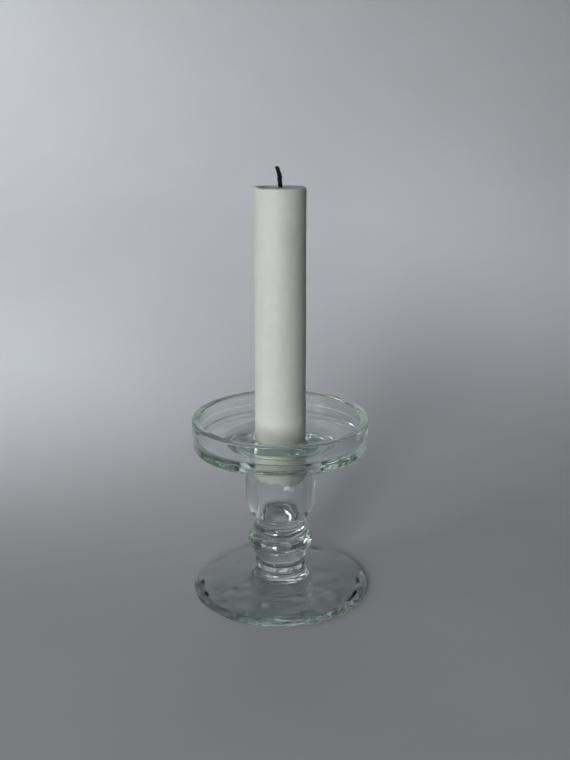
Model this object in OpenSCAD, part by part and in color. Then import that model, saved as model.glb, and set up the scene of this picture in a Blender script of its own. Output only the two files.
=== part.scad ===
// Glass candlestick with a dinner candle standing in its socket.
//
// The glass is a stack of six gathers on one vertical axis, each bonded to the next over a flat
// round face: foot, foot collar, stem ring, knop, socket cup and drip pan. The candle and its wick
// lift out of the socket. The origin is on the axis, on the surface that the foot stands on.
// Every piece is turned, so each one is an outline of radius and height spun about Z.

/* [Foot] */
// Outside diameter of the foot
foot_d = 80.4; // [64:0.2:100]
// Thickness of the foot at its round outer edge
foot_edge_t = 1.6; // [1:0.1:4]
// How steeply the top of the foot rises from its edge to the stem, in degrees
foot_slope = 10.65; // [6:0.05:16]
// Radius of the hollow flare where the foot turns up into the stem
foot_flare_r = 3.8; // [2:0.1:5]
// Diameter of the stem where it leaves the foot
foot_stem_d = 21.8; // [18:0.2:23]
// Height of the hollow under the middle of the foot
kick_h = 2.2; // [0.6:0.1:3]
// Width of the flat ring that the foot stands on
rest_w = 4.4; // [3:0.1:8]

/* [Stem] */
// Diameter of the foot collar at its widest
collar_d = 23; // [22:0.2:28]
// Height of the foot collar
collar_h = 5.2; // [4:0.1:7]
// Radius of the collar's swell, seen from the side
collar_swell_r = 6.5; // [5:0.1:9]
// Diameter of the stem ring at its widest
ring_d = 24; // [22.4:0.2:28]
// Height of the stem ring
ring_h = 5.9; // [4.5:0.1:7]
// Radius of the stem ring's swell, seen from the side
ring_swell_r = 6; // [4.5:0.1:9]
// Diameter of the knop at its widest
knop_d = 29.6; // [26:0.2:36]
// Radius of the knop's tight round below its widest line
knop_lower_r = 1.1; // [0.6:0.1:2]
// Radius of the knop's wide round above its widest line
knop_upper_r = 7.6; // [6.4:0.1:9]
// Height of that wide round, up to the step
knop_upper_h = 4.7; // [3.5:0.1:5.5]
// Diameter of the shoulder that the knop steps in to
shoulder_d = 25.2; // [24.4:0.2:26]
// Radius of the shoulder's swell, seen from the side
shoulder_swell_r = 5; // [4.4:0.1:6]
// Height of the shoulder below its widest line
shoulder_low_h = 1.4; // [0.6:0.1:2]
// Height of the shoulder above its widest line
shoulder_high_h = 3.5; // [2:0.1:3.9]
// Diameter of the neck between the knop and the cup
neck_d = 21.8; // [18:0.2:22.2]

/* [Socket cup] */
// Height of the cup from the neck to the underside of the pan
cup_h = 36.6; // [30:0.1:45]
// Thickness of the cup's wall at the socket's mouth
cup_wall = 3.5; // [2.5:0.1:5]
// Radius of the hollow between the neck and the bowl of the cup
cup_hollow_r = 3; // [2:0.1:4]
// Height of the straight neck under the cup
cup_neck_h = 0.3; // [0.2:0.1:2]
// Solid glass between the neck and the bottom of the socket
socket_bottom_t = 3.2; // [2.5:0.1:6]
// Radius of the hollow flare from the cup out to the underside of the pan
pan_flare_r = 12.5; // [8:0.1:14]
// How far that flare turns before it meets the pan
pan_flare_deg = 78; // [60:1:82]
// How much wider than the candle the socket's mouth is, all round
mouth_ease = 0.9; // [0.5:0.05:2]
// How much narrower than the candle the socket's bottom is, all round
bottom_grip = 1.4; // [0.9:0.05:3]

/* [Drip pan] */
// Outside diameter of the pan at its upper band
pan_d = 78.2; // [64:0.2:100]
// Height of the pan from its underside to its rim
pan_h = 13.6; // [10:0.2:20]
// Thickness of the pan's floor
pan_floor_t = 4.4; // [3:0.1:6]
// Thickness of the pan's wall at the rim
pan_wall_t = 3.6; // [2.4:0.1:5]
// Height of the upper band that stands proud of the lower one
band_h = 6.4; // [3:0.1:8]
// How far the upper band stands proud
band_step = 0.25; // [0.1:0.05:0.5]
// Rounding of the rim's two edges
rim_round_r = 0.9; // [0.4:0.1:1.1]
// Rounding of the pan's lower outside edge
pan_foot_round_r = 1.8; // [1:0.1:2.4]
// Radius of the hollow between the pan's wall and its floor
pan_hollow_r = 1.0; // [0.6:0.1:4]
// Width of the flat bevel that eases the socket's mouth
mouth_bevel = 0.8; // [0.3:0.1:1.2]

/* [Candle] */
// Diameter of the candle where the socket grips it
candle_d = 22.7; // [19:0.1:27.2]
// Diameter of the candle at its top
candle_top_d = 21.8; // [18:0.1:22.7]
// Length of the candle from its shaved end to its top
candle_len = 130; // [60:1:250]
// Length of the shaved end that narrows into the socket
shave_len = 8.2; // [5:0.1:11]
// How much the shaved end narrows, all round
shave_in = 1.15; // [0.8:0.05:2]
// Gap between the candle and the socket where the socket grips it
candle_clear = 0.15; // [0.1:0.05:0.3]
// Depth of the melt pool in the candle's top
pool_depth = 1.8; // [0.5:0.1:3]
// Width of the wax rim left round the melt pool
pool_rim_w = 1.3; // [0.8:0.1:3]

/* [Wick] */
// Diameter of the braid inside the wax
wick_d = 2.2; // [1.8:0.1:3]
// How much thinner the charred end has burned, all round
char_loss = 0.15; // [0.05:0.05:0.3]
// Length of the charred end above the melt pool
char_len = 9.7; // [5:0.1:15]
// Radius of the charred end's bend
char_bend_r = 32; // [15:1:60]

/* [Hidden] */
$fn = 128;
// How far a cut or a fill runs past the face that it meets
lap = 0.5;

// Foot, from the standing plane up
foot_r = foot_d / 2;
foot_edge_r = foot_edge_t / 2;
foot_edge_c = [foot_r - foot_edge_r, foot_edge_r];
slope_out = [sin(foot_slope), cos(foot_slope)];
foot_top_start = foot_edge_c + foot_edge_r * slope_out;
flare_x = foot_stem_d / 2 + foot_flare_r;
flare_under = foot_top_start.y + (foot_top_start.x - flare_x) * tan(foot_slope);
flare_c = [flare_x, flare_under + foot_flare_r / cos(foot_slope)];
foot_top_end = flare_c - foot_flare_r * slope_out;
kick_r = foot_edge_c.x - rest_w;

// Heights of the joints between the gathers
collar_z = flare_c.y;
ring_z = collar_z + collar_h;
knop_z = ring_z + ring_h;
knop_mid_z = knop_z + knop_lower_r;

// Knop: a tight round below its widest line, a wide one above it, then a stepped-in shoulder
knop_r = knop_d / 2;
neck_r = neck_d / 2;
knop_upper_c = [knop_r - knop_upper_r, knop_mid_z];
shoulder_z = knop_mid_z + knop_upper_h;
shoulder_c = [shoulder_d / 2 - shoulder_swell_r, shoulder_z + shoulder_low_h];
cup_z = shoulder_c.y + shoulder_high_h;

// Socket: a tapered bore sized by the candle that it grips
candle_r = candle_d / 2;
mouth_r = candle_r + mouth_ease;
bottom_r = candle_r - bottom_grip;
pan_z = cup_z + cup_h;
floor_z = pan_z + pan_floor_t;
bottom_z = cup_z + socket_bottom_t;
socket_taper = (mouth_r - bottom_r) / (floor_z - bottom_z);
function socket_r(z) = bottom_r + (z - bottom_z) * socket_taper;

// Bowl of the cup: a ball of the cup's own radius, blended into the neck
cup_r = mouth_r + cup_wall;
cup_hollow_x = neck_r + cup_hollow_r;
bowl_rise = sqrt(pow(cup_r + cup_hollow_r, 2) - pow(cup_hollow_x, 2));
cup_hollow_c = [cup_hollow_x, cup_z + cup_neck_h];
bowl_c = [0, cup_hollow_c.y + bowl_rise];
cup_hollow_end = bowl_c + (cup_hollow_c - bowl_c) * cup_r / (cup_r + cup_hollow_r);

// Drip pan
pan_r = pan_d / 2;
rim_z = pan_z + pan_h;
pan_low_r = pan_r - band_step;
pan_in_r = pan_r - pan_wall_t;

// Candle: it stands where the socket has narrowed to its own size and the clearance
seat_z = bottom_z + (candle_r + candle_clear - bottom_r) / socket_taper;
candle_z = seat_z - shave_len;
candle_top_z = candle_z + candle_len;
pool_z = candle_top_z - pool_depth;

// Wick: its charred end starts inside the braid, just under the melt pool, and bends from there
wick_r = wick_d / 2;
char_r = wick_r - char_loss;
char_z = pool_z - lap;
char_bend_deg = (char_len + lap) / char_bend_r * 180 / PI;

// Three-cornered piece between two square edges at p and the round of radius r that joins them.
// It is cut from an outer corner or added to an inner one; toward is the way to the round's centre.
module spandrel(p, r, toward) {
    translate(p)
        mirror([toward.x < 0 ? 1 : 0, 0])
            mirror([0, toward.y < 0 ? 1 : 0])
                difference() {
                    translate([-lap, -lap]) square(r + lap);
                    translate([r, r]) circle(r);
                }
}

// Part of a round of radius r about c that lies between two heights and outside the axis
module round_between(c, r, z_low, z_high) {
    intersection() {
        translate(c) circle(r);
        translate([0, z_low]) square([c.x + r, z_high - z_low]);
    }
}

// The socket's tapered hollow with its eased mouth, cut from the cup and the pan alike
module socket_hollow_outline() {
    polygon([
        [0, bottom_z],
        [bottom_r, bottom_z],
        [socket_r(floor_z - mouth_bevel), floor_z - mouth_bevel],
        [mouth_r + mouth_bevel, floor_z],
        [mouth_r + mouth_bevel, floor_z + lap],
        [0, floor_z + lap],
    ]);
}

module foot() {
    color([0.84, 0.91, 0.88, 0.55])
        rotate_extrude()
            difference() {
                union() {
                    translate(foot_edge_c) circle(foot_edge_r);
                    polygon([
                        [0, kick_h],
                        [kick_r, 0],
                        [foot_edge_c.x, 0],
                        foot_edge_c,
                        foot_top_start,
                        foot_top_end,
                        flare_c,
                        [0, flare_c.y],
                    ]);
                }
                translate(flare_c) circle(foot_flare_r);
            }
}

module foot_collar() {
    swell_c = [collar_d / 2 - collar_swell_r, collar_z + 0.4 * collar_h];
    color([0.80, 0.88, 0.85, 0.55])
        rotate_extrude()
            round_between(swell_c, collar_swell_r, collar_z, ring_z);
}

module stem_ring() {
    swell_c = [ring_d / 2 - ring_swell_r, ring_z + ring_h / 2];
    color([0.86, 0.92, 0.89, 0.55])
        rotate_extrude()
            union() {
                round_between(swell_c, ring_swell_r, ring_z, knop_z);
                translate([0, ring_z]) square([swell_c.x, ring_h]);
            }
}

module knop() {
    knop_lower_c = [knop_r - knop_lower_r, knop_mid_z];
    color([0.82, 0.90, 0.87, 0.55])
        rotate_extrude()
            union() {
                round_between(knop_lower_c, knop_lower_r, knop_z, knop_mid_z);
                round_between(knop_upper_c, knop_upper_r, knop_mid_z, shoulder_z);
                round_between(shoulder_c, shoulder_swell_r, shoulder_z, cup_z);
                translate([0, knop_z]) square([knop_lower_c.x, knop_lower_r]);
                translate([0, knop_mid_z]) square([shoulder_c.x, cup_z - knop_mid_z]);
            }
}

// Glass that widens from the upright wall of the cup out to the underside of the pan
module pan_flare_outline() {
    reach = pan_flare_r * (1 - cos(pan_flare_deg));
    rise = pan_flare_r * sin(pan_flare_deg);
    difference() {
        translate([cup_r - lap, pan_z - rise]) square([reach + lap, rise]);
        translate([cup_r + pan_flare_r, pan_z - rise]) circle(pan_flare_r);
    }
}

module socket_cup() {
    color([0.85, 0.92, 0.89, 0.45])
        rotate_extrude()
            difference() {
                union() {
                    round_between(bowl_c, cup_r, bowl_c.y - cup_r, bowl_c.y);
                    translate([0, bowl_c.y]) square([cup_r, pan_z - bowl_c.y]);
                    pan_flare_outline();
                    polygon([
                        [0, cup_z],
                        [neck_r, cup_z],
                        [neck_r, cup_hollow_c.y],
                        cup_hollow_c,
                        cup_hollow_end,
                        bowl_c,
                    ]);
                }
                translate([0, bowl_c.y - cup_r - lap]) square([cup_r, cup_z - bowl_c.y + cup_r + lap]);
                translate(cup_hollow_c) circle(cup_hollow_r);
                socket_hollow_outline();
            }
}

module drip_pan() {
    color([0.83, 0.91, 0.88, 0.45])
        rotate_extrude()
            difference() {
                union() {
                    difference() {
                        union() {
                            translate([0, pan_z]) square([pan_low_r, pan_h]);
                            translate([0, rim_z - band_h]) square([pan_r, band_h]);
                        }
                        translate([0, floor_z]) square([pan_in_r, pan_h]);
                    }
                    spandrel([pan_in_r, floor_z], pan_hollow_r, [-1, 1]);
                }
                spandrel([pan_r, rim_z], rim_round_r, [-1, -1]);
                spandrel([pan_in_r, rim_z], rim_round_r, [1, -1]);
                spandrel([pan_low_r, pan_z], pan_foot_round_r, [-1, 1]);
                socket_hollow_outline();
            }
}

module candle() {
    color([0.93, 0.94, 0.90])
        rotate_extrude()
            polygon([
                [wick_r, candle_z],
                [candle_r - shave_in, candle_z],
                [candle_r, seat_z],
                [candle_top_d / 2, candle_top_z],
                [candle_top_d / 2 - pool_rim_w, candle_top_z],
                [wick_r, pool_z],
            ]);
}

// The wick runs down through the whole candle; its charred end bends over towards -X
module wick() {
    color([0.10, 0.09, 0.09])
        union() {
            translate([0, 0, candle_z]) cylinder(h = pool_z - candle_z, r = wick_r);
            translate([-char_bend_r, 0, char_z])
                rotate([90, 0, 0])
                    rotate_extrude(angle = char_bend_deg)
                        translate([char_bend_r, 0]) circle(char_r);
        }
}

foot();
foot_collar();
stem_ring();
knop();
socket_cup();
drip_pan();
candle();
wick();
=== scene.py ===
"""A pressed-glass candlestick holding a burned dinner candle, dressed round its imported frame.

The glass is one continuous lump, so its foot, rings, cup and pan share one skin: a turned outline
spun about Z and rippled as fire-polished glass is. The candle and its wick are skins of their own, and lift
out of the socket together. Lengths are in metres, and the frame gives every overall size.
"""

import logging
import math
from dataclasses import dataclass, field
from enum import Enum

import bpy
import numpy as np
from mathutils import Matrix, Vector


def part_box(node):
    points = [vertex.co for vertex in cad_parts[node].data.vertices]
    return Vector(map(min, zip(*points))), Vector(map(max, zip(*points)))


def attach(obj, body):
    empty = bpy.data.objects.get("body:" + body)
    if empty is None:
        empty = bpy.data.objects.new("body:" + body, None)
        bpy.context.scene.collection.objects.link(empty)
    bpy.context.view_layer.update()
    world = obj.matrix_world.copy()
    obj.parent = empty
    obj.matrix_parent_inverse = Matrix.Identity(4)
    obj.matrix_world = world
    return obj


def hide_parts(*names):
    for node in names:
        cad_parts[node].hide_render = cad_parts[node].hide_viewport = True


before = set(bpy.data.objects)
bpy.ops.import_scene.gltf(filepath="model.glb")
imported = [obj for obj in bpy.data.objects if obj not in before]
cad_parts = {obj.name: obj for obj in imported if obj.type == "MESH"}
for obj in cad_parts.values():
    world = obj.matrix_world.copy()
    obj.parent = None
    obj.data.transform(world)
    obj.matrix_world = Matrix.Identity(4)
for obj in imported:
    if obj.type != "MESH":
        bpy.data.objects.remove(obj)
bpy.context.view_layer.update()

MM = 0.001
TAU = 2.0 * math.pi

log = logging.getLogger("candlestick")


class Body(Enum):
    """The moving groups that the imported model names."""

    HOLDER = "holder"
    CANDLE = "candle"


class Slot(Enum):
    """The record's material slots."""

    GLASS = "clear_glass"
    WAX = "candle_wax"
    WICK = "charred_wick"


# ---------------------------------------------------------------- shape helpers


def smooth(value: np.ndarray, low: float, high: float) -> np.ndarray:
    """Eased step: 0 below low, 1 above high, 3t^2 - 2t^3 between, t the share of the way.

    Args:
        value: numbers to ease.
        low: where the step starts.
        high: where the step ends.

    Returns:
        Array of the same shape, from 0 to 1.
    """
    t = np.clip((value - low) / (high - low), 0.0, 1.0)
    return t * t * (3.0 - 2.0 * t)


def hump(value: np.ndarray, centre: float, width: float) -> np.ndarray:
    """Bell curve exp(-((value - centre) / width)^2).

    Args:
        value: numbers to weigh.
        centre: where the bell is 1.
        width: distance at which it has fallen to 1/e.

    Returns:
        Array of the same shape, from 0 to 1.
    """
    return np.exp(-(((value - centre) / width) ** 2))


def around(angle: np.ndarray, centre_deg: float) -> np.ndarray:
    """Signed distance round the axis from a bearing, wrapped to -pi..pi.

    Args:
        angle: bearings in radians.
        centre_deg: the bearing to measure from, in degrees.

    Returns:
        Wrapped differences in radians.
    """
    return (angle - math.radians(centre_deg) + math.pi) % TAU - math.pi


@dataclass(frozen=True)
class Ripple:
    """Gentle random swell: a sum of plane sine waves of about one wavelength, in all directions."""

    height: float
    wavelength: float
    seed: int
    waves: int = 28

    def at(self, points: np.ndarray) -> np.ndarray:
        """Height of the swell at each point: height * sum(sin(k.p + phase)) / sqrt(waves / 2).

        Args:
            points: positions, with x, y and z on the last axis.

        Returns:
            One number per point, in metres.
        """
        rng = np.random.default_rng(self.seed)
        ways = rng.normal(size=(self.waves, 3))
        ways /= np.linalg.norm(ways, axis=1, keepdims=True)
        number = TAU / self.wavelength * rng.uniform(0.6, 1.5, self.waves)
        phase = rng.uniform(0.0, TAU, self.waves)
        swell = np.sin(points @ (ways * number[:, None]).T + phase).sum(axis=-1)
        return self.height * swell / math.sqrt(self.waves / 2.0)


@dataclass(frozen=True)
class Turn:
    """One corner of a turned outline: its radius, its height and how large a round it takes."""

    radius: float
    height: float
    round: float = 0.0


def rounded(turns: list[Turn], spacing: float, arc_step: float) -> np.ndarray:
    """Walks an outline from corner to corner, with each corner replaced by a tangent arc.

    An arc of radius q in a corner that turns by phi starts q * tan(phi / 2) before it. Straight
    runs get points at an even spacing, and arcs one for every arc_step of turning.

    Args:
        turns: the corners in order; the first and last are the outline's ends.
        spacing: largest gap between points on a straight run.
        arc_step: largest angle between points on an arc, in radians.

    Returns:
        Array of (radius, height) rows.
    """
    knots = np.array([(t.radius, t.height) for t in turns])
    pieces = [knots[:1]]
    for i in range(1, len(turns) - 1):
        back, ahead = knots[i - 1] - knots[i], knots[i + 1] - knots[i]
        back, ahead = back / np.linalg.norm(back), ahead / np.linalg.norm(ahead)
        turn = math.pi - math.acos(float(np.clip(back @ ahead, -1.0, 1.0)))
        if turns[i].round <= 0.0 or turn < 1e-4:
            pieces.append(knots[i : i + 1])
            continue
        start = knots[i] + back * turns[i].round * math.tan(turn / 2.0)
        inward = back + ahead
        centre = knots[i] + inward / np.linalg.norm(inward) * turns[i].round / math.cos(turn / 2.0)
        spoke = start - centre
        side = np.sign(back[0] * ahead[1] - back[1] * ahead[0])
        sweep = side * np.linspace(0.0, turn, max(4, math.ceil(turn / arc_step)))
        x = spoke[0] * np.cos(-sweep) - spoke[1] * np.sin(-sweep)
        y = spoke[0] * np.sin(-sweep) + spoke[1] * np.cos(-sweep)
        pieces.append(centre + np.stack([x, y], axis=1))
    pieces.append(knots[-1:])
    filled = [pieces[0]]
    for piece in pieces[1:]:
        gap = np.linalg.norm(piece[0] - filled[-1][-1])
        count = max(1, math.ceil(gap / spacing))
        share = np.linspace(0.0, 1.0, count + 1)[1:-1, None]
        filled.append(filled[-1][-1] * (1.0 - share) + piece[0] * share)
        filled.append(piece if gap > 1e-7 else piece[1:])
    return np.concatenate(filled)


def reverse_curve(low: float, high: float, start: float, hollow: float, swell: float) -> list[Turn]:
    """Corners of an S from one upright wall out to a wider one above it.

    The two arcs turn by phi each, where cos(phi) = 1 - (high - low) / (hollow + swell), and the S
    rises (hollow + swell) * sin(phi).

    Args:
        low: radius of the lower wall.
        high: radius of the upper wall.
        start: height at which the hollow begins.
        hollow: radius of the lower, inward arc.
        swell: radius of the upper, outward arc.

    Returns:
        The lower and the upper corner.
    """
    phi = math.acos(1.0 - (high - low) / (hollow + swell))
    rise = (hollow + swell) * math.sin(phi)
    lead = math.tan(phi / 2.0)
    return [Turn(low, start + hollow * lead, hollow), Turn(high, start + rise - swell * lead, swell)]


def outline_normals(outline: np.ndarray) -> np.ndarray:
    """Unit normals of an outline walked with the solid on its left, from central differences.

    Args:
        outline: (radius, height) rows.

    Returns:
        Rows of the same shape that point out of the solid.
    """
    along = np.gradient(outline, axis=0)
    out = np.stack([along[:, 1], -along[:, 0]], axis=1)
    return out / np.linalg.norm(out, axis=1, keepdims=True)


def smooth_mesh(name: str, points: np.ndarray, faces: list[list[int]]) -> bpy.types.Object:
    """Makes an object from points and faces, shades it smooth and links it to the scene."""
    mesh = bpy.data.meshes.new(name)
    mesh.from_pydata(points.tolist(), [], faces)
    mesh.polygons.foreach_set("use_smooth", np.ones(len(mesh.polygons), dtype=bool))
    mesh.update()
    piece = bpy.data.objects.new(name, mesh)
    bpy.context.scene.collection.objects.link(piece)
    return piece


def skin(name: str, grid: np.ndarray) -> bpy.types.Object:
    """Closes a grid of rings into a smooth mesh; its first and last rings are single points.

    Ring i and point j are corners of the quad (i, j), (i, j+1), (i+1, j+1), (i+1, j), with j
    wrapped round, and triangles close the two ends.

    Args:
        name: the piece's name.
        grid: positions, rings by points round by 3, walked from the lower end to the upper one.

    Returns:
        The new object, linked to the scene.
    """
    rings, round_ = grid.shape[:2]
    middle = grid[1:-1].reshape(-1, 3)
    points = np.concatenate([grid[:1, 0], middle, grid[-1:, 0]])
    here = 1 + np.arange((rings - 3) * round_).reshape(rings - 3, round_)
    beside = np.roll(here, -1, axis=1)
    quads = np.stack([here, beside, beside + round_, here + round_], axis=-1).reshape(-1, 4)
    first = 1 + np.arange(round_)
    last = 1 + (rings - 3) * round_ + np.arange(round_)
    end = len(points) - 1
    foot = np.stack([np.zeros_like(first), np.roll(first, -1), first], axis=1)
    head = np.stack([np.full_like(last, end), last, np.roll(last, -1)], axis=1)
    return smooth_mesh(name, points, quads.tolist() + foot.tolist() + head.tolist())


def outward(angle: np.ndarray) -> np.ndarray:
    """Unit vectors straight out from the axis at each bearing."""
    return np.stack([np.cos(angle), np.sin(angle), np.zeros_like(angle)], axis=-1)


def spun(outline: np.ndarray, count: int) -> tuple[np.ndarray, np.ndarray]:
    """Spins an outline about Z.

    Args:
        outline: (radius, height) rows.
        count: points round the axis.

    Returns:
        The grid of positions, and the bearings of its columns in radians.
    """
    angle = np.arange(count) * TAU / count
    radius, height = outline[:, :1], outline[:, 1:]
    grid = np.stack(
        [radius * np.cos(angle), radius * np.sin(angle), np.broadcast_to(height, (len(outline), count))],
        axis=-1,
    )
    return grid, angle


# ---------------------------------------------------------------- shader helpers


class Nodes:
    """Short hand for building one node tree."""

    def __init__(self, tree: bpy.types.NodeTree) -> None:
        """Starts on a tree, which is emptied."""
        self.tree = tree
        tree.nodes.clear()

    def add(self, kind: str, inputs: dict | None = None, **settings: object) -> bpy.types.Node:
        """Adds a node, sets its properties, and sets or links its inputs.

        Args:
            kind: the node's type name.
            inputs: socket name or index to a value or to an output socket.
            **settings: node properties by name.

        Returns:
            The node.
        """
        node = self.tree.nodes.new(kind)
        for key, value in settings.items():
            setattr(node, key, value)
        for key, value in (inputs or {}).items():
            if isinstance(value, bpy.types.NodeSocket):
                self.tree.links.new(value, node.inputs[key])
            else:
                node.inputs[key].default_value = value
        return node

    def sum(
        self, kind: str, first: object, second: object = 0.0, clamp: bool = False
    ) -> bpy.types.NodeSocket:
        """Adds a Math node and gives its output.

        Args:
            kind: the operation, such as MULTIPLY.
            first: a value or socket.
            second: a value or socket.
            clamp: whether to hold the result between 0 and 1.

        Returns:
            The Value socket.
        """
        return self.add("ShaderNodeMath", {0: first, 1: second}, operation=kind, use_clamp=clamp).outputs[0]

    def ramp(self, value: bpy.types.NodeSocket, stops: list[tuple[float, tuple]]) -> bpy.types.NodeSocket:
        """Adds a colour ramp and gives its colour.

        Args:
            value: the socket that drives it.
            stops: (position, colour) pairs.

        Returns:
            The Color socket.
        """
        node = self.add("ShaderNodeValToRGB", {0: value})
        while len(node.color_ramp.elements) < len(stops):
            node.color_ramp.elements.new(0.5)
        for element, (place, colour) in zip(node.color_ramp.elements, stops):
            element.position = place
            element.color = (*colour, 1.0)
        return node.outputs[0]


def effect(
    name: str, inputs: dict[str, float], outputs: list[str]
) -> tuple[Nodes, bpy.types.Node, bpy.types.Node]:
    """Starts a node group with a Position input, number inputs and number outputs.

    Args:
        name: the group's name.
        inputs: input names and their default values.
        outputs: output names.

    Returns:
        The node builder, the group's input node and its output node.
    """
    group = bpy.data.node_groups.new(name, "ShaderNodeTree")
    group.interface.new_socket("Position", in_out="INPUT", socket_type="NodeSocketVector")
    for key, value in inputs.items():
        socket = group.interface.new_socket(key, in_out="INPUT", socket_type="NodeSocketFloat")
        socket.default_value = value
    for key in outputs:
        group.interface.new_socket(key, in_out="OUTPUT", socket_type="NodeSocketFloat")
    nodes = Nodes(group)
    return nodes, nodes.add("NodeGroupInput"), nodes.add("NodeGroupOutput")


def clouds_effect() -> bpy.types.NodeTree:
    """Soft clouding: two scales of noise, mixed 2 to 1, spread to fill 0..1.

    Returns:
        The node group, with a Scale input and a Mask output.
    """
    nodes, inside, outside = effect("Clouds", {"Scale": 100.0}, ["Mask"])
    place, scale = inside.outputs["Position"], inside.outputs["Scale"]
    broad = nodes.add("ShaderNodeTexNoise", {"Vector": place, "Scale": scale, "Detail": 3.0})
    fine_scale = nodes.sum("MULTIPLY", scale, 4.3)
    fine = nodes.add("ShaderNodeTexNoise", {"Vector": place, "Scale": fine_scale, "Detail": 4.0})
    most = nodes.sum("MULTIPLY", broad.outputs[0], 0.67)
    rest = nodes.sum("MULTIPLY", fine.outputs[0], 0.33)
    mixed = nodes.sum("ADD", most, rest)
    spread = nodes.add("ShaderNodeMapRange", {0: mixed, 1: 0.34, 2: 0.66})
    nodes.tree.links.new(spread.outputs[0], outside.inputs["Mask"])
    return nodes.tree


def specks_effect() -> bpy.types.NodeTree:
    """Scattered specks: the share of cells whose own random number passes a limit, faded at their edge.

    Returns:
        The node group, with Scale, Share and Size inputs and a Mask output.
    """
    nodes, inside, outside = effect("Specks", {"Scale": 900.0, "Share": 0.1, "Size": 0.2}, ["Mask"])
    place, scale = inside.outputs["Position"], inside.outputs["Scale"]
    cells = nodes.add("ShaderNodeTexVoronoi", {"Vector": place, "Scale": scale})
    near = nodes.sum("LESS_THAN", cells.outputs["Distance"], inside.outputs["Size"])
    pick = nodes.add("ShaderNodeSeparateColor", {0: cells.outputs["Color"]})
    chosen = nodes.sum("LESS_THAN", pick.outputs[0], inside.outputs["Share"])
    nodes.tree.links.new(nodes.sum("MULTIPLY", near, chosen), outside.inputs["Mask"])
    return nodes.tree


def blank(name: str) -> tuple[bpy.types.Material, Nodes, bpy.types.NodeSocket]:
    """Starts a material: the material, its node builder and its Object coordinates."""
    material = bpy.data.materials.new(name)
    material.use_nodes = True
    nodes = Nodes(material.node_tree)
    return material, nodes, nodes.add("ShaderNodeTexCoord").outputs["Object"]


class Effects:
    """The shared node groups, each built once."""

    def __init__(self) -> None:
        """Builds every group."""
        self.clouds = clouds_effect()
        self.specks = specks_effect()

    def use(
        self, nodes: Nodes, group: bpy.types.NodeTree, position: object, **values: float
    ) -> bpy.types.NodeSocket:
        """Places a group in a material.

        Args:
            nodes: the material's builder.
            group: the group to place.
            position: the Object coordinates socket.
            **values: values for its number inputs.

        Returns:
            The group's Mask socket.
        """
        node = nodes.add("ShaderNodeGroup", node_tree=group)
        nodes.tree.links.new(position, node.inputs["Position"])
        for key, value in values.items():
            node.inputs[key].default_value = value
        return node.outputs["Mask"]


# ---------------------------------------------------------------- finishes


@dataclass(frozen=True)
class GlassFinish:
    """Fire-polished soda-lime glass, clear through a thin wall and faintly green through a thick one."""

    ior: float = 1.52
    tint: tuple[float, float, float] = (0.44, 0.70, 0.57)
    depth: float = 9.0
    haze: float = 0.006
    orange_peel: float = 0.000002

    def material(self, effects: Effects) -> bpy.types.Material:
        """Builds the material: smooth glass, handled here and there, over a plain absorbing volume."""
        material, nodes, place = blank("clear_glass")
        smears = effects.use(nodes, effects.clouds, place, Scale=55.0)
        rough = nodes.add("ShaderNodeMapRange", {0: smears, 1: 0.45, 2: 1.0, 3: 0.0, 4: self.haze})
        peel = effects.use(nodes, effects.clouds, place, Scale=140.0)
        bump = nodes.add("ShaderNodeBump", {"Strength": 1.0, "Distance": self.orange_peel, "Height": peel})
        shader = nodes.add(
            "ShaderNodeBsdfPrincipled",
            {
                "Base Color": (0.985, 0.997, 0.99, 1.0),
                "Roughness": rough.outputs[0],
                "IOR": self.ior,
                "Transmission Weight": 1.0,
                "Normal": bump.outputs[0],
            },
        )
        inside = nodes.add("ShaderNodeVolumeAbsorption", {"Color": (*self.tint, 1.0), "Density": self.depth})
        end = nodes.add("ShaderNodeOutputMaterial", {"Surface": shader.outputs[0]})
        nodes.tree.links.new(inside.outputs[0], end.inputs["Volume"])
        return material


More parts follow.
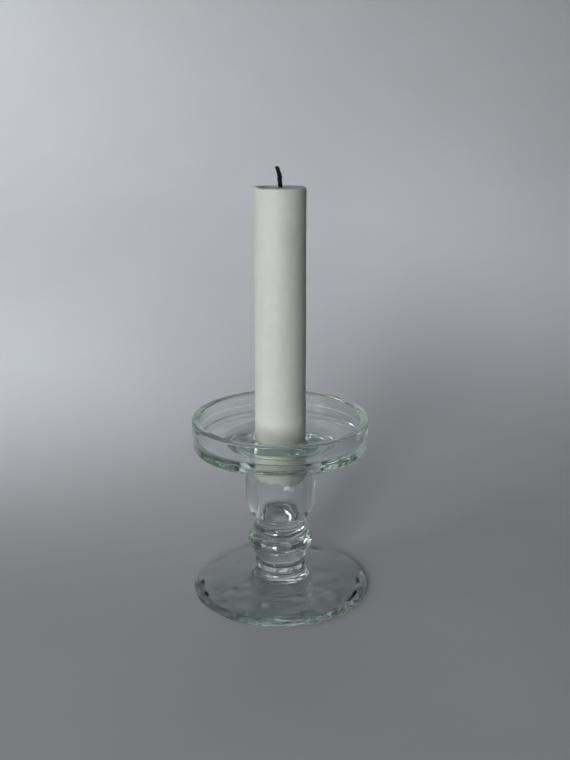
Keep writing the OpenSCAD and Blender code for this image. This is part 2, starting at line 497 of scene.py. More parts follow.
@dataclass(frozen=True)
class WaxFinish:
    """Off-white paraffin: clouded, softly lit under the skin, lightly scuffed, sooty round the wick."""

    pale: tuple[float, float, float] = (0.80, 0.82, 0.775)
    deep: tuple[float, float, float] = (0.74, 0.77, 0.715)
    soot: tuple[float, float, float] = (0.12, 0.10, 0.08)
    soot_reach: tuple[float, float] = (4.8 * MM, 1.2 * MM)
    soot_depth: tuple[float, float] = (6.0 * MM, 3.0 * MM)
    glow_depth: float = 0.0022
    top: float = 0.0

    def material(self, effects: Effects) -> bpy.types.Material:
        """Builds the material from clouding, specks, a soot stain and a fine skin texture."""
        material, nodes, place = blank("candle_wax")
        split = nodes.add("ShaderNodeSeparateXYZ", {0: place})
        cloud = effects.use(nodes, effects.clouds, place, Scale=70.0)
        colour = nodes.ramp(cloud, [(0.0, self.deep), (1.0, self.pale)])
        across = nodes.add("ShaderNodeCombineXYZ", {0: split.outputs[0], 1: split.outputs[1]})
        off_axis = nodes.add("ShaderNodeVectorMath", {0: across.outputs[0]}, operation="LENGTH")
        far, close = self.soot_reach
        deep, shallow = (self.top - depth for depth in self.soot_depth)
        near_wick = nodes.add("ShaderNodeMapRange", {0: off_axis.outputs["Value"], 1: far, 2: close})
        at_top = nodes.add("ShaderNodeMapRange", {0: split.outputs[2], 1: deep, 2: shallow})
        soot = nodes.sum("MULTIPLY", near_wick.outputs[0], at_top.outputs[0])
        grains = effects.use(nodes, effects.specks, place, Scale=1500.0, Share=0.35, Size=0.35)
        speckled = nodes.sum("ADD", nodes.sum("MULTIPLY", grains, 0.5), 0.35)
        stain = nodes.sum("MULTIPLY", soot, speckled, clamp=True)
        stained = nodes.add("ShaderNodeMix", {0: stain, 6: colour, 7: (*self.soot, 1.0)}, data_type="RGBA")
        drawn = nodes.add("ShaderNodeMapping", {0: place, 3: (1.0, 1.0, 0.12)}).outputs[0]
        scuffs = nodes.add("ShaderNodeTexNoise", {"Vector": drawn, "Scale": 900.0, "Detail": 5.0})
        pits = effects.use(nodes, effects.specks, place, Scale=420.0, Share=0.08, Size=0.22)
        raised = nodes.sum("MULTIPLY", scuffs.outputs[0], 0.6)
        skin_height = nodes.sum("SUBTRACT", raised, nodes.sum("MULTIPLY", pits, 0.5))
        bump = nodes.add("ShaderNodeBump", {"Strength": 0.35, "Distance": 0.00012, "Height": skin_height})
        rough = nodes.add("ShaderNodeMapRange", {0: cloud, 3: 0.42, 4: 0.56})
        shader = nodes.add(
            "ShaderNodeBsdfPrincipled",
            {
                "Base Color": stained.outputs[2],
                "Roughness": rough.outputs[0],
                "IOR": 1.43,
                "Subsurface Weight": 0.8,
                "Subsurface Radius": (1.0, 0.86, 0.62),
                "Subsurface Scale": self.glow_depth,
                "Normal": bump.outputs[0],
            },
        )
        nodes.add("ShaderNodeOutputMaterial", {"Surface": shader.outputs[0]})
        return material


@dataclass(frozen=True)
class WickFinish:
    """Cotton braid: waxed and pale in the candle, charred black and crumbly where it has burned."""

    cotton: tuple[float, float, float] = (0.62, 0.58, 0.48)
    scorch: tuple[float, float, float] = (0.09, 0.06, 0.04)
    char: tuple[float, float, float] = (0.004, 0.004, 0.0045)
    ash: tuple[float, float, float] = (0.06, 0.055, 0.05)
    char_start: float = 0.0

    def material(self, effects: Effects) -> bpy.types.Material:
        """Builds the material: height picks cotton, scorch or char, and noise roughens all three."""
        material, nodes, place = blank("charred_wick")
        height = nodes.add("ShaderNodeSeparateXYZ", {0: place}).outputs[2]
        cloud = effects.use(nodes, effects.clouds, place, Scale=1400.0)
        wander = nodes.sum("ADD", height, nodes.sum("MULTIPLY", cloud, 0.0006))
        start, end = self.char_start - 0.0006, self.char_start + 0.0012
        burned = nodes.add("ShaderNodeMapRange", {0: wander, 1: start, 2: end})
        colour = nodes.ramp(burned.outputs[0], [(0.0, self.cotton), (0.45, self.scorch), (1.0, self.char)])
        flecks = effects.use(nodes, effects.specks, place, Scale=3800.0, Share=0.12, Size=0.3)
        share = nodes.sum("MULTIPLY", nodes.sum("MULTIPLY", flecks, burned.outputs[0]), 0.25)
        tinted = nodes.add("ShaderNodeMix", {0: share, 6: colour, 7: (*self.ash, 1.0)}, data_type="RGBA")
        bump = nodes.add("ShaderNodeBump", {"Strength": 0.8, "Distance": 0.0001, "Height": cloud})
        rough = nodes.add("ShaderNodeMapRange", {0: cloud, 3: 0.7, 4: 0.95})
        shader = nodes.add(
            "ShaderNodeBsdfPrincipled",
            {
                "Base Color": tinted.outputs[2],
                "Roughness": rough.outputs[0],
                "Specular IOR Level": 0.25,
                "Normal": bump.outputs[0],
            },
        )
        nodes.add("ShaderNodeOutputMaterial", {"Surface": shader.outputs[0]})
        return material


@dataclass(frozen=True)
class SheetFinish:
    """Matt studio paper, or the near-black sheet of painted shade round it; barely clouded."""

    name: str
    colour: tuple[float, float, float]

    def material(self) -> bpy.types.Material:
        """Builds the material: the colour, 3 percent darker here and there."""
        material, nodes, place = blank(self.name)
        tooth = nodes.add("ShaderNodeTexNoise", {"Vector": place, "Scale": 14.0, "Detail": 2.0})
        darker = tuple(c * 0.97 for c in self.colour)
        colour = nodes.ramp(tooth.outputs[0], [(0.3, darker), (0.7, self.colour)])
        shader = nodes.add(
            "ShaderNodeBsdfPrincipled", {"Base Color": colour, "Roughness": 0.9, "Specular IOR Level": 0.2}
        )
        nodes.add("ShaderNodeOutputMaterial", {"Surface": shader.outputs[0]})
        return material


# ---------------------------------------------------------------- the glass holder


def span(node: str) -> tuple[float, float, float]:
    """Widest radius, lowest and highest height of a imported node."""
    low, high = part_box(node)
    return high.x, low.z, high.z


@dataclass(frozen=True)
class Foot:
    """Round foot: a thin rounded rim, a top that slopes up to a flare, and a hollow underside."""

    rim_round: float = 0.8 * MM
    rim_height: float = 1.46 * MM
    slope: float = math.tan(math.radians(10.65))
    stem_radius: float = 10.9 * MM
    flare: float = 3.8 * MM
    kick: float = 2.2 * MM
    kick_radius: float = 35.0 * MM

    def turns(self) -> list[Turn]:
        """Corners from the middle of the underside out, over the rim and up to the stem."""
        radius, _, _ = span("foot")
        meet = self.rim_height + (radius - self.stem_radius) * self.slope
        return [
            Turn(0.0, self.kick),
            Turn(self.kick_radius, 0.0, 3.0 * MM),
            Turn(radius, 0.0, self.rim_round),
            Turn(radius, self.rim_height, self.rim_round * 0.98),
            Turn(self.stem_radius, meet, self.flare),
        ]


@dataclass(frozen=True)
class Stem:
    """Collar, ring and knop, each with a groove under it, and the knop's stepped-in shoulder."""

    groove: float = 0.30 * MM
    swell: float = 1.9 * MM
    ring_round: float = 2.4 * MM
    foot_neck: float = 10.9 * MM
    ring_neck: float = 10.9 * MM
    ring_top: float = 11.3 * MM
    knop_edge: float = 1.05 * MM
    knop_upper: float = 7.6 * MM
    knop_rise: float = 4.7 * MM
    shoulder: float = 12.6 * MM
    shoulder_swell: float = 5.0 * MM
    shoulder_low: float = 1.4 * MM

    def turns(self) -> list[Turn]:
        """Corners from the top of the foot's flare up to the neck of the knop."""
        collar, collar_low, collar_high = span("foot_collar")
        ring, _, ring_high = span("stem_ring")
        knop, _, knop_high = span("knop")
        middle = ring_high + self.knop_edge
        lead = self.knop_upper * math.tan(math.asin(self.knop_rise / self.knop_upper) / 2.0)
        step = middle + self.knop_rise
        knop_end = knop - self.knop_upper + math.sqrt(self.knop_upper**2 - self.knop_rise**2)
        widest = step + self.shoulder_low
        above = knop_high - widest
        over = self.shoulder_swell * math.tan(math.asin(above / self.shoulder_swell) / 2.0)
        top = self.shoulder - self.shoulder_swell + math.sqrt(self.shoulder_swell**2 - above**2)
        return [
            Turn(self.foot_neck, collar_low + 0.1 * MM, self.groove),
            Turn(collar, collar_low + 0.9 * MM, self.swell * 0.6),
            Turn(collar, collar_high - 2.0 * MM, self.swell),
            Turn(self.ring_neck, collar_high, self.groove),
            Turn(ring, collar_high + 1.3 * MM, self.ring_round),
            Turn(ring, ring_high - 1.6 * MM, self.ring_round),
            Turn(self.ring_top, ring_high, self.groove),
            Turn(knop, ring_high + 0.1 * MM, self.knop_edge),
            Turn(knop, middle + lead, self.knop_upper * 0.99),
            Turn(knop_end, step, 0.25 * MM),
            Turn(self.shoulder - 0.15 * MM, step + 0.02 * MM, 0.15 * MM),
            Turn(self.shoulder, widest + over, self.shoulder_swell * 0.99),
            Turn(top, knop_high, 0.0),
        ]


@dataclass(frozen=True)
class Cup:
    """Socket cup: a bowl on a short neck, an upright wall, and a flare out to the pan."""

    neck: float = 10.9 * MM
    neck_height: float = 0.3 * MM
    hollow: float = 3.0 * MM
    flare: float = 12.5 * MM
    flare_turn: float = math.radians(78.0)

    def turns(self) -> list[Turn]:
        """Corners from the neck up to the underside of the pan."""
        radius, low, high = self.wall()
        curve = reverse_curve(self.neck, radius, low + self.neck_height, self.hollow, radius)
        rise = self.flare * math.sin(self.flare_turn)
        lead = self.flare * math.tan(self.flare_turn / 2.0)
        reach = self.flare * (1.0 - math.cos(self.flare_turn))
        flare = Turn(radius, high - rise + lead, self.flare * 0.99)
        return [*curve, flare, Turn(radius + reach, high, 0.4 * MM)]

    def wall(self) -> tuple[float, float, float]:
        """Radius of the upright wall, and the cup's lowest and highest height."""
        reach = self.flare * (1.0 - math.cos(self.flare_turn))
        widest, low, high = span("socket_cup")
        return widest - reach, low, high


@dataclass(frozen=True)
class Pan:
    """Drip pan: an upright wall with a proud upper band, a rounded rim and a flat floor."""

    foot_round: float = 1.8 * MM
    band_height: float = 6.4 * MM
    band_step: float = 0.25 * MM
    rim_round: float = 1.1 * MM
    wall: float = 3.6 * MM
    draft: float = 0.35 * MM
    fillet: float = 1.0 * MM
    floor: float = 4.4 * MM
    mouth_lip: float = 1.1 * MM

    def turns(self, mouth: float) -> list[Turn]:
        """Corners from the pan's underside, over the rim and back across the floor to the socket.

        Args:
            mouth: radius of the socket's mouth.

        Returns:
            The corners in order.
        """
        radius, low, high = span("drip_pan")
        step = high - self.band_height
        inner = radius - self.wall
        return [
            Turn(radius - self.band_step, low, self.foot_round),
            Turn(radius - self.band_step, step - 0.15 * MM, 0.12 * MM),
            Turn(radius, step + 0.15 * MM, 0.12 * MM),
            Turn(radius, high, self.rim_round),
            Turn(inner, high, self.rim_round),
            Turn(inner - self.draft, low + self.floor, self.fillet),
            Turn(mouth, low + self.floor, self.mouth_lip),
        ]


@dataclass(frozen=True)
class Socket:
    """Tapered hole for the candle, pressed by a round-nosed plunger."""

    mouth: float = 12.23 * MM
    bottom: float = 9.95 * MM
    solid_below: float = 3.2 * MM
    nose: float = 0.8 * MM
    dome: float = 0.5 * MM

    def turns(self) -> list[Turn]:
        """Corners from the foot of the taper to the middle of the socket's bottom."""
        _, low, _ = span("socket_cup")
        bottom = low + self.solid_below
        return [Turn(self.bottom, bottom, self.nose), Turn(0.0, bottom + self.dome)]


@dataclass(frozen=True)
class Polish:
    """The ripples that pressing and fire-polishing leave on the glass."""

    edge_lumps: Ripple = Ripple(0.08 * MM, 3.2 * MM, 11)
    edge_waves: Ripple = Ripple(0.06 * MM, 14.0 * MM, 12)
    edge_sunk: float = 0.22 * MM
    lumpy_bearing: float = -80.0
    lumpy_width: float = 0.6
    lumps_elsewhere: float = 0.15
    face_swell: Ripple = Ripple(0.045 * MM, 10.0 * MM, 13)
    rim_waves: Ripple = Ripple(0.03 * MM, 3.0 * MM, 14)
    wall_waves: Ripple = Ripple(0.018 * MM, 12.0 * MM, 15)
    slow_waves: Ripple = Ripple(0.018 * MM, 16.0 * MM, 16)

    def lift(self, grid: np.ndarray, outline: np.ndarray, angle: np.ndarray) -> np.ndarray:
        """How far the skin moves out: each ripple weighed by a bell or a step of radius and height.

        Args:
            grid: the spun skin.
            outline: its outline.
            angle: bearings of its columns.

        Returns:
            One distance per point of the skin, in metres.
        """
        radius, height = outline[:, :1], outline[:, 1:]
        foot_r, _, foot_top = span("foot")
        pan_r, pan_low, pan_high = span("drip_pan")
        on_foot = 1.0 - smooth(height, foot_top * 0.7, foot_top)
        edge = smooth(radius, foot_r - 4.6 * MM, foot_r - 1.2 * MM) * on_foot
        near_front = hump(around(angle, self.lumpy_bearing), 0.0, self.lumpy_width)
        lumpy = self.lumps_elsewhere + (1.0 - self.lumps_elsewhere) * near_front
        face = smooth(radius, 10.0 * MM, 16.0 * MM) * on_foot * (1.0 - edge)
        rim = smooth(height, pan_high - 2.0 * MM, pan_high - 0.4 * MM)
        outer = smooth(radius, pan_r - 7.0 * MM, pan_r - 4.0 * MM)
        wall = outer * smooth(height, pan_low - 1.0 * MM, pan_low)
        lift = edge * lumpy * self.edge_lumps.at(grid)
        lift += edge * (self.edge_waves.at(grid) - self.edge_sunk)
        lift += face * self.face_swell.at(grid)
        lift += rim * self.rim_waves.at(grid)
        lift += wall * self.wall_waves.at(grid)
        return lift + smooth(radius, 2.0 * MM, 6.0 * MM) * self.slow_waves.at(grid)


@dataclass
class Holder:
    """The whole glass: foot, stem, cup, pan and socket under one skin."""

    finish: GlassFinish = field(default_factory=GlassFinish)
    foot: Foot = field(default_factory=Foot)
    stem: Stem = field(default_factory=Stem)
    cup: Cup = field(default_factory=Cup)
    pan: Pan = field(default_factory=Pan)
    socket: Socket = field(default_factory=Socket)
    ripples: Polish = field(default_factory=Polish)
    points_round: int = 320
    spacing: float = 1.1 * MM
    arc_step: float = math.radians(11.0)
    nodes: tuple[str, ...] = ("foot", "foot_collar", "stem_ring", "knop", "socket_cup", "drip_pan")

    def outline(self) -> np.ndarray:
        """The turned outline, from the middle of the underside to the bottom of the socket."""
        turns = self.foot.turns() + self.stem.turns() + self.cup.turns()
        turns += self.pan.turns(self.socket.mouth) + self.socket.turns()
        return rounded(turns, self.spacing, self.arc_step)

    def polish(self, grid: np.ndarray, outline: np.ndarray, angle: np.ndarray) -> np.ndarray:
        """Moves the skin along its own normal by the ripples, and keeps it on or above the table.

        Args:
            grid: the spun skin.
            outline: its outline.
            angle: bearings of its columns.

        Returns:
            The rippled grid.
        """
        out = outline_normals(outline)
        across, up = out[:, :1], np.broadcast_to(out[:, 1:], grid.shape[:2])
        normal = np.stack([across * np.cos(angle), across * np.sin(angle), up], axis=-1)
        grid = grid + normal * self.ripples.lift(grid, outline, angle)[..., None]
        grid[..., 2] = np.maximum(grid[..., 2], 0.0)
        return grid

    def build(self) -> bpy.types.Object:
        """Makes the glass skin."""
        outline = self.outline()
        grid, angle = spun(outline, self.points_round)
        return skin("glass_holder", self.polish(grid, outline, angle))

    def dress(self, effects: Effects) -> bpy.types.Object:
        """Builds the glass, gives it its finish and puts it in the frame."""
        piece = self.build()
        piece.data.materials.append(self.finish.material(effects))
        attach(piece, Body.HOLDER.value)
        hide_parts(*self.nodes)
        return piece


# ---------------------------------------------------------------- the candle


@dataclass(frozen=True)
class Dip:
    """A soft dip in the candle's burned rim at a bearing; a negative depth raises the rim."""

    depth: float
    bearing: float
    width: float

    def at(self, angle: np.ndarray) -> np.ndarray:
        """Depth of the dip at each bearing."""
        return self.depth * hump(around(angle, self.bearing), 0.0, self.width)


@dataclass
class Candle:
    """Dinner candle: slightly tapered, shaved at its lower end, burned down to an uneven pool."""

    top_radius: float = 10.9 * MM
    shave_height: float = 8.2 * MM
    shave_in: float = 1.15 * MM
    edge_round: float = 0.55 * MM
    rim_drop: float = 0.45 * MM
    dips: tuple[Dip, ...] = (
        Dip(0.45 * MM, 90.0, 0.9),
        Dip(0.30 * MM, 350.0, 0.5),
        Dip(-0.50 * MM, 182.0, 0.30),
    )
    scallop: float = 0.12 * MM
    chips: Ripple = Ripple(0.42 * MM, 5.0 * MM, 21)
    bends: Ripple = Ripple(0.05 * MM, 26.0 * MM, 31)
    dents: Ripple = Ripple(0.02 * MM, 6.0 * MM, 32)
    whittling: Ripple = Ripple(0.22 * MM, 3.4 * MM, 33)
    points_round: int = 256

    def rim_height(self, angle: np.ndarray) -> np.ndarray:
        """Height of the burned rim at each bearing: a raised lip on the left, low at the back."""
        _, _, top = span("candle")
        drop = self.rim_drop
        for dip in self.dips:
            drop = drop + dip.at(angle)
        drop = drop + self.scallop * np.sin(5.0 * angle + 0.7) * hump(around(angle, 240.0), 0.0, 1.2)
        return top - drop

    def pool_height(self, angle: np.ndarray, share: np.ndarray) -> np.ndarray:
        """Height of the melt pool's skin: deep on the left, filled on the right, up the wick a little.

        Args:
            angle: bearings.
            share: distance from the axis as a share of the candle's radius.

        Returns:
            Heights that broadcast over both.
        """
        _, _, top = span("candle")
        right = share * np.cos(angle - math.radians(-20.0))
        level = top - 1.55 * MM + 0.95 * MM * smooth(right, -0.35, 0.45)
        return level + 0.45 * MM * hump(share, 0.0, 0.17)

    def grid(self) -> np.ndarray:
        """The skin from the middle of the base, up the side and in to the middle of the pool."""
        radius, base, top = span("candle")
        angle = np.arange(self.points_round) * TAU / self.points_round
        rim = self.rim_height(angle)
        foot_share = np.linspace(0.0, 1.0, 14)[:, None]
        side_share = np.linspace(0.0, 1.0, 120)[1:, None]
        top_share = np.linspace(1.0, 0.0, 46)[1:, None]

        seat = base + self.shave_height
        slant = 0.9 * MM * (0.5 + 0.5 * np.sin(3.0 * angle + 1.0))
        base_edge = base + slant + np.abs(self.chips.at(outward(angle) * radius)) * 2.0

        height_foot = base_edge * foot_share + (base + 0.6 * MM) * (1.0 - foot_share) + 0.0 * angle
        radius_foot = foot_share * (radius - self.shave_in - 0.3 * MM) + 0.0 * angle

        height_side = base_edge + (rim - self.edge_round - base_edge) * side_share
        taper = (height_side - seat) / (top - seat)
        full = radius - 0.1 * MM + (self.top_radius - radius + 0.1 * MM) * np.clip(taper, 0.0, 1.0)
        facets = 0.5 + 0.5 * np.cos(7.0 * angle + 0.6 * np.sin(2.0 * angle))
        into = 1.0 - smooth(height_side, base, seat + 1.2 * MM)
        radius_side = full - into * (self.shave_in * (0.75 + 0.45 * facets))

        height_top, radius_top = self.top_rows(angle, rim, top_share)
        heights = np.concatenate([height_foot, height_side, height_top])
        radii = np.concatenate([radius_foot, radius_side, radius_top])
        grid = np.stack([radii * np.cos(angle), radii * np.sin(angle), heights], axis=-1)
        return self.weather(grid, angle)

    def top_rows(
        self, angle: np.ndarray, rim: np.ndarray, share: np.ndarray
    ) -> tuple[np.ndarray, np.ndarray]:
        """Rows over the rounded rim and in across the pool.

        The rim is an ellipse quarter out, a flat, then an eased drop to the pool's own height.

        Args:
            angle: bearings.
            rim: rim height at each bearing.
            share: rows as a share of the top's radius, from 1 to 0.

        Returns:
            Heights and radii, rows by bearings.
        """
        edge = self.edge_round
        radius = share * self.top_radius + 0.0 * angle
        from_edge = self.top_radius - radius
        outer = edge - np.sqrt(np.clip(edge**2 - (edge - np.minimum(from_edge, edge)) ** 2, 0.0, None))
        lip = 1.3 * MM + 0.5 * MM * np.sin(2.0 * angle + 0.4)
        inside = smooth(from_edge, lip * 0.55, lip * 2.1)
        pool = self.pool_height(angle, share)
        height = (rim - outer) * (1.0 - inside) + np.minimum(pool, rim - 0.1 * MM) * inside
        return height, radius

    def weather(self, grid: np.ndarray, angle: np.ndarray) -> np.ndarray:
        """Adds slow waves, small dents and lumps at the shaved end, all across the axis.

        Args:
            grid: the smooth skin.
            angle: bearings of its columns.

        Returns:
            The handled skin.
        """
        _, base, _ = span("candle")
        low = 1.0 - smooth(grid[..., 2], base + 3.0 * MM, base + 9.0 * MM)
        radius = np.linalg.norm(grid[..., :2], axis=-1)
        side = smooth(radius, 7.0 * MM, 9.5 * MM)
        lift = side * self.bends.at(grid)
        lift += side * self.dents.at(grid)
        lift -= side * low * np.abs(self.whittling.at(grid))
        lift[0] = 0.0
        lift[-1] = 0.0
        return grid + outward(angle) * lift[..., None]

    def dress(self, effects: Effects) -> bpy.types.Object:
        """Builds the candle, gives it its finish and puts it in the frame."""
        _, _, top = span("candle")
        piece = skin("dinner_candle", self.grid())
        piece.data.materials.append(WaxFinish(top=top).material(effects))
        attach(piece, Body.CANDLE.value)
        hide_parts("candle")
        return piece


@dataclass
class Wick:
    """Braided wick: three strands twisted through the candle, shrunken and bent where it has charred."""

    braid_radius: float = 1.0 * MM
    char_radius: float = 0.92 * MM
    lean: float = 1.45 * MM
    strands: int = 3
    lay: float = 5.2 * MM
    char_depth: float = 1.2 * MM
    grit: Ripple = Ripple(0.07 * MM, 0.9 * MM, 41)
    crumbs: Ripple = Ripple(0.06 * MM, 2.2 * MM, 42)
    points_round: int = 48
    rows_below: int = 150
    rows_above: int = 270

    def char_start(self) -> float:
        """Height at which the wick begins to be charred, just under the wax."""
        _, _, wax_top = span("candle")
        return wax_top - self.char_depth

    def grid(self) -> np.ndarray:
        """The braid's skin: a bent, twisted, three-lobed rod with closed ends and a crumbly top."""
        _, low, high = span("wick")
        char_start = self.char_start()
        below = np.linspace(0.0, 0.9, self.rows_below, endpoint=False)
        t = np.concatenate([below, np.linspace(0.9, 1.0, self.rows_above)])
        height = (low - 0.25 * MM) + (high - 0.15 * MM - low + 0.25 * MM) * t
        free = np.clip((height - char_start) / (high - char_start), 0.0, 1.0)
        centre_x = 0.12 * MM - self.lean * free**2.1 - 0.05 * MM * np.sin(free * 9.0)
        centre_y = 0.18 * MM * np.sin(free * 3.4)
        burned = smooth(height, char_start - 0.5 * MM, char_start + 1.0 * MM)
        size = self.braid_radius + (self.char_radius - self.braid_radius) * burned
        size = size * (1.0 - 0.16 * smooth(free, 0.45, 1.0))
        tip = np.sqrt(np.clip((1.0 - t) * (high - low) / (0.35 * MM), 0.0, 1.0))
        tail = np.sqrt(np.clip(t * (high - low) / (0.25 * MM), 0.0, 1.0))
        size = size * np.minimum(tip, tail)
        angle = np.arange(self.points_round) * TAU / self.points_round
        twist = angle[None, :] - TAU * height[:, None] / self.lay
        strand = np.abs(np.cos(twist * self.strands / 2.0)) - 0.64
        radius = size[:, None] * (1.0 + (0.16 + 0.06 * burned[:, None]) * strand)
        grid = np.stack(
            [
                centre_x[:, None] + radius * np.cos(angle),
                centre_y[:, None] + radius * np.sin(angle),
                np.broadcast_to(height[:, None], radius.shape),
            ],
            axis=-1,
        )
        rough = burned[:, None] * (self.grit.at(grid) + self.crumbs.at(grid))
        keep = np.minimum(tip, tail)[:, None] * rough
        return grid + outward(angle) * keep[..., None]

    def dress(self, effects: Effects) -> bpy.types.Object:
        """Builds the wick, gives it its finish and puts it in the frame."""
        piece = skin("wick_braid", self.grid())
        piece.data.materials.append(WickFinish(char_start=self.char_start()).material(effects))
        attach(piece, Body.CANDLE.value)
        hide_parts("wick")
        return piece


# ---------------------------------------------------------------- the studio


@dataclass(frozen=True)
class SoftBox:
    """One rectangular studio light."""

    name: str
    place: tuple[float, float, float]
    aim: tuple[float, float, float]
    width: float
    height: float
    power: float
    colour: tuple[float, float, float] = (1.0, 1.0, 1.0)
    spread_deg: float = 180.0

    def build(self) -> bpy.types.Object:
        """Makes the light and turns it towards its aim."""
        data = bpy.data.lights.new(self.name, "AREA")
        data.shape = "RECTANGLE"
        data.size, data.size_y = self.width, self.height
        data.energy, data.color = self.power, self.colour
        data.spread = math.radians(self.spread_deg)
        lamp = bpy.data.objects.new(self.name, data)
        bpy.context.scene.collection.objects.link(lamp)
        from_, to = np.array(self.place), np.array(self.aim)
        way = (to - from_) / np.linalg.norm(to - from_)
        lamp.location = self.place
        lamp.rotation_euler = (math.pi / 2.0 + math.asin(way[2]), 0.0, math.atan2(-way[0], way[1]))
        lamp.visible_camera = False
        return lamp


def window_panes() -> tuple[SoftBox, ...]:
    """The soft lights: windows of several panes at the front left, dim cards, and washes on the paper.

    Each pane is named by its bearing: degrees to the left of the viewer's line of sight, its
    distance, its height, its width, its own height and its power. The washes are narrow beams on
    Each pane is listed by its bearing: degrees to the left of the viewer's line of sight, its
    distance, its height, its width, its own height and its power. The washes are narrow beams on
    the paper behind, so the holder and the candle do not see them.
    """
    middle = (0.0, 0.0, 0.08)
    panes = (
        (20.0, 1.6, 0.25, 0.40, 0.18, 4.6),
        (20.0, 1.6, 0.46, 0.40, 0.18, 4.6),
        (27.0, 1.6, 0.29, 0.29, 0.36, 1.85),
        (39.0, 1.6, 0.29, 0.29, 0.36, 1.85),
        (60.0, 1.6, 0.35, 0.50, 0.40, 3.3),
        (90.0, 1.4, 0.60, 0.50, 0.60, 0.8),
    )
    boxes = []
    for number, (bearing, away, height, wide, tall, power) in enumerate(panes):
        turn = math.radians(bearing)
        place = (-away * math.sin(turn), -away * math.cos(turn), height)
        boxes.append(SoftBox(f"pane_{number}", place, middle, wide, tall, power=power))
    return (
        *boxes,
        SoftBox("left_card", (-0.95, 0.33, 0.30), middle, 0.75, 0.60, power=0.36),
        SoftBox("right_card", (0.95, 0.36, 0.25), middle, 0.5, 0.5, power=0.12),
        SoftBox("over_card", (-0.2, 0.2, 1.7), (0.0, 0.6, 0.2), 0.9, 0.9, power=0.5, spread_deg=120.0),
        SoftBox("high_card", (0.0, 0.95, 1.15), (0.0, 0.0, 0.0), 1.3, 0.5, power=1.0),
        SoftBox("far_wash", (-0.9, 0.2, 1.0), (-0.38, 0.75, 0.28), 0.3, 0.3, power=0.5, spread_deg=50.0),
        SoftBox("left_wash", (-0.8, 0.0, 0.9), (-0.25, 0.40, 0.07), 0.3, 0.3, power=0.19, spread_deg=40.0),
        SoftBox("near_wash", (-0.7, 0.1, 0.9), (-0.19, 0.24, 0.02), 0.15, 0.15, power=0.066, spread_deg=24.0),
        SoftBox("centre_wash", (0.0, 0.1, 1.3), (0.0, 0.65, 0.20), 0.3, 0.3, power=0.083, spread_deg=50.0),
        SoftBox("right_wash", (0.3, 0.1, 1.2), (0.25, 0.60, 0.17), 0.3, 0.3, power=0.054, spread_deg=40.0),
        SoftBox("back_wash", (0.2, 0.3, 1.2), (0.16, 0.42, 0.08), 0.15, 0.15, power=0.038, spread_deg=24.0),
    )


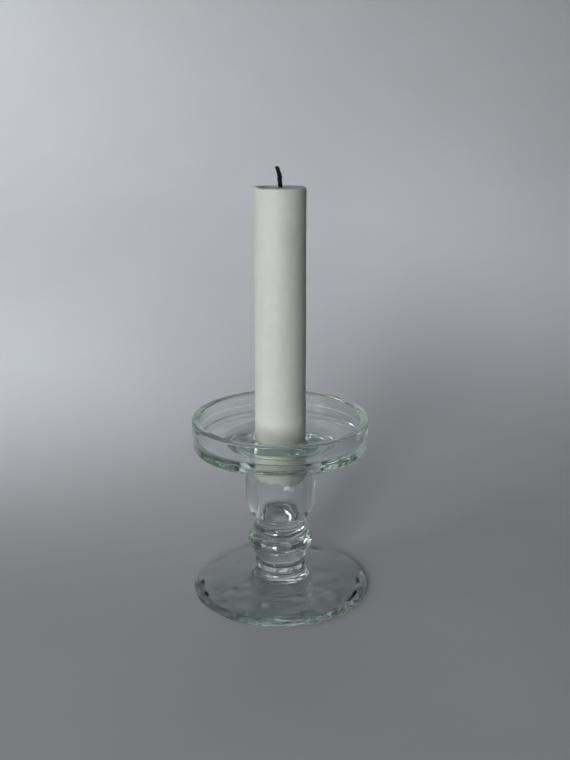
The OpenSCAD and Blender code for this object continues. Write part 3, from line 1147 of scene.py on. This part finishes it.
@dataclass
class Studio:
    """Wide sweep of pale paper over a near-black floor of painted shade, window light from the front left,
    and the camera.
    """

    half_width: float = 0.36
    front: float = -0.62
    bend_start: float = 0.04
    bend_radius: float = 1.0
    sheet_height: float = 0.8
    paper: SheetFinish = SheetFinish("studio_paper", (0.65, 0.68, 0.715))
    # Painted shade: this near-black sheet round the paper stands in for the dim, unlit room.
    shade_sheet: SheetFinish = SheetFinish("painted_shade_sheet", (0.022, 0.023, 0.024))
    room_light: float = 0.05
    room_colour: tuple[float, float, float] = (0.86, 0.94, 1.0)
    boxes: tuple[SoftBox, ...] = field(default_factory=window_panes)
    camera_back: float = 0.4005
    camera_height: float = 0.2205
    camera_pitch_deg: float = 16.91
    camera_yaw_deg: float = -0.29
    lens: float = 45.38

    def sheet(self, name: str, across: np.ndarray, run: np.ndarray, finish: SheetFinish) -> bpy.types.Object:
        """Lays one sheet: a side outline of (y, z) rows drawn out across x.

        Args:
            name: the sheet's name.
            across: x of its columns.
            run: its side outline, from the front to the far end.
            finish: what it is made of.

        Returns:
            The new stage object.
        """
        rows, count = len(run), len(across)
        x = np.broadcast_to(across, (rows, count))
        y = np.broadcast_to(run[:, :1], (rows, count))
        z = np.broadcast_to(run[:, 1:], (rows, count))
        points = np.stack([x, y, z], axis=-1).reshape(-1, 3)
        here = np.arange((rows - 1) * count).reshape(rows - 1, count)[:, :-1]
        quads = np.stack([here, here + 1, here + 1 + count, here + count], axis=-1).reshape(-1, 4)
        sheet = smooth_mesh(name, points, quads.tolist())
        sheet.data.materials.append(finish.material())
        return sheet

    def floor(self) -> list[bpy.types.Object]:
        """The paper, flat in front and bent gently up behind to its far edge; and under it a near-black floor
        of painted shade.
        """
        flat = np.linspace(self.front, self.bend_start, 12)
        bend = np.linspace(0.0, math.acos(1.0 - self.sheet_height / self.bend_radius), 50)[1:]
        y = np.concatenate([flat, self.bend_start + self.bend_radius * np.sin(bend)])
        z = np.concatenate([0.0 * flat, self.bend_radius * (1.0 - np.cos(bend))])
        run = np.stack([y, z], axis=1)
        wide = np.linspace(-self.half_width, self.half_width, 24)
        under = np.array([[-2.5, -0.002], [2.5, -0.002]])
        return [
            self.sheet("studio_paper", wide, run, self.paper),
            # Painted shade: the near-black sheet that stands in for the dim, unlit room round the paper.
            self.sheet("painted_shade_sheet", np.array([-2.5, 2.5]), under, self.shade_sheet),
        ]

    def lights(self) -> list[bpy.types.Object]:
        """The window's panes, cards and washes, and the dim room round them."""
        world = bpy.data.worlds.new("dim_room")
        bpy.context.scene.world = world
        world.use_nodes = True
        nodes = Nodes(world.node_tree)
        colour = (*self.room_colour, 1.0)
        room = nodes.add("ShaderNodeBackground", {"Color": colour, "Strength": self.room_light})
        nodes.add("ShaderNodeOutputWorld", {"Surface": room.outputs[0]})
        return [box.build() for box in self.boxes]

    def camera(self) -> bpy.types.Object:
        """The camera, in front and above, looking down at the pan."""
        data = bpy.data.cameras.new("camera")
        data.sensor_width = 36.0
        data.lens = self.lens
        camera = bpy.data.objects.new("camera", data)
        bpy.context.scene.collection.objects.link(camera)
        camera.location = (0.0, -self.camera_back, self.camera_height)
        pitch = math.radians(90.0 - self.camera_pitch_deg)
        camera.rotation_euler = (pitch, 0.0, math.radians(self.camera_yaw_deg))
        bpy.context.scene.camera = camera
        return camera

    def light_paths(self) -> None:
        """Lets light through many layers of thick glass, and keeps its sparkle."""
        cycles = bpy.context.scene.cycles
        cycles.max_bounces = 28
        cycles.transmission_bounces = 28
        cycles.glossy_bounces = 24
        cycles.diffuse_bounces = 5
        cycles.volume_bounces = 2
        cycles.blur_glossy = 0.3
        cycles.sample_clamp_indirect = 6.0
        bpy.context.scene.view_settings.view_transform = "Standard"


def report(piece: bpy.types.Object) -> None:
    """Logs a piece's name, faces and height span."""
    heights = np.empty(len(piece.data.vertices) * 3, dtype=np.float32)
    piece.data.vertices.foreach_get("co", heights)
    up = heights[2::3]
    faces = len(piece.data.polygons)
    log.info("%s: %d faces, %.1f to %.1f mm", piece.name, faces, up.min() / MM, up.max() / MM)


def main() -> None:
    """Builds the studio, the holder, the candle and the wick, in that order."""
    logging.basicConfig(level=logging.INFO, format="%(name)s: %(message)s")
    studio = Studio()
    studio.camera()
    studio.lights()
    studio.floor()
    studio.light_paths()
    effects = Effects()
    for maker in (Holder(), Candle(), Wick()):
        report(maker.dress(effects))


if __name__ == "__main__":
    main()
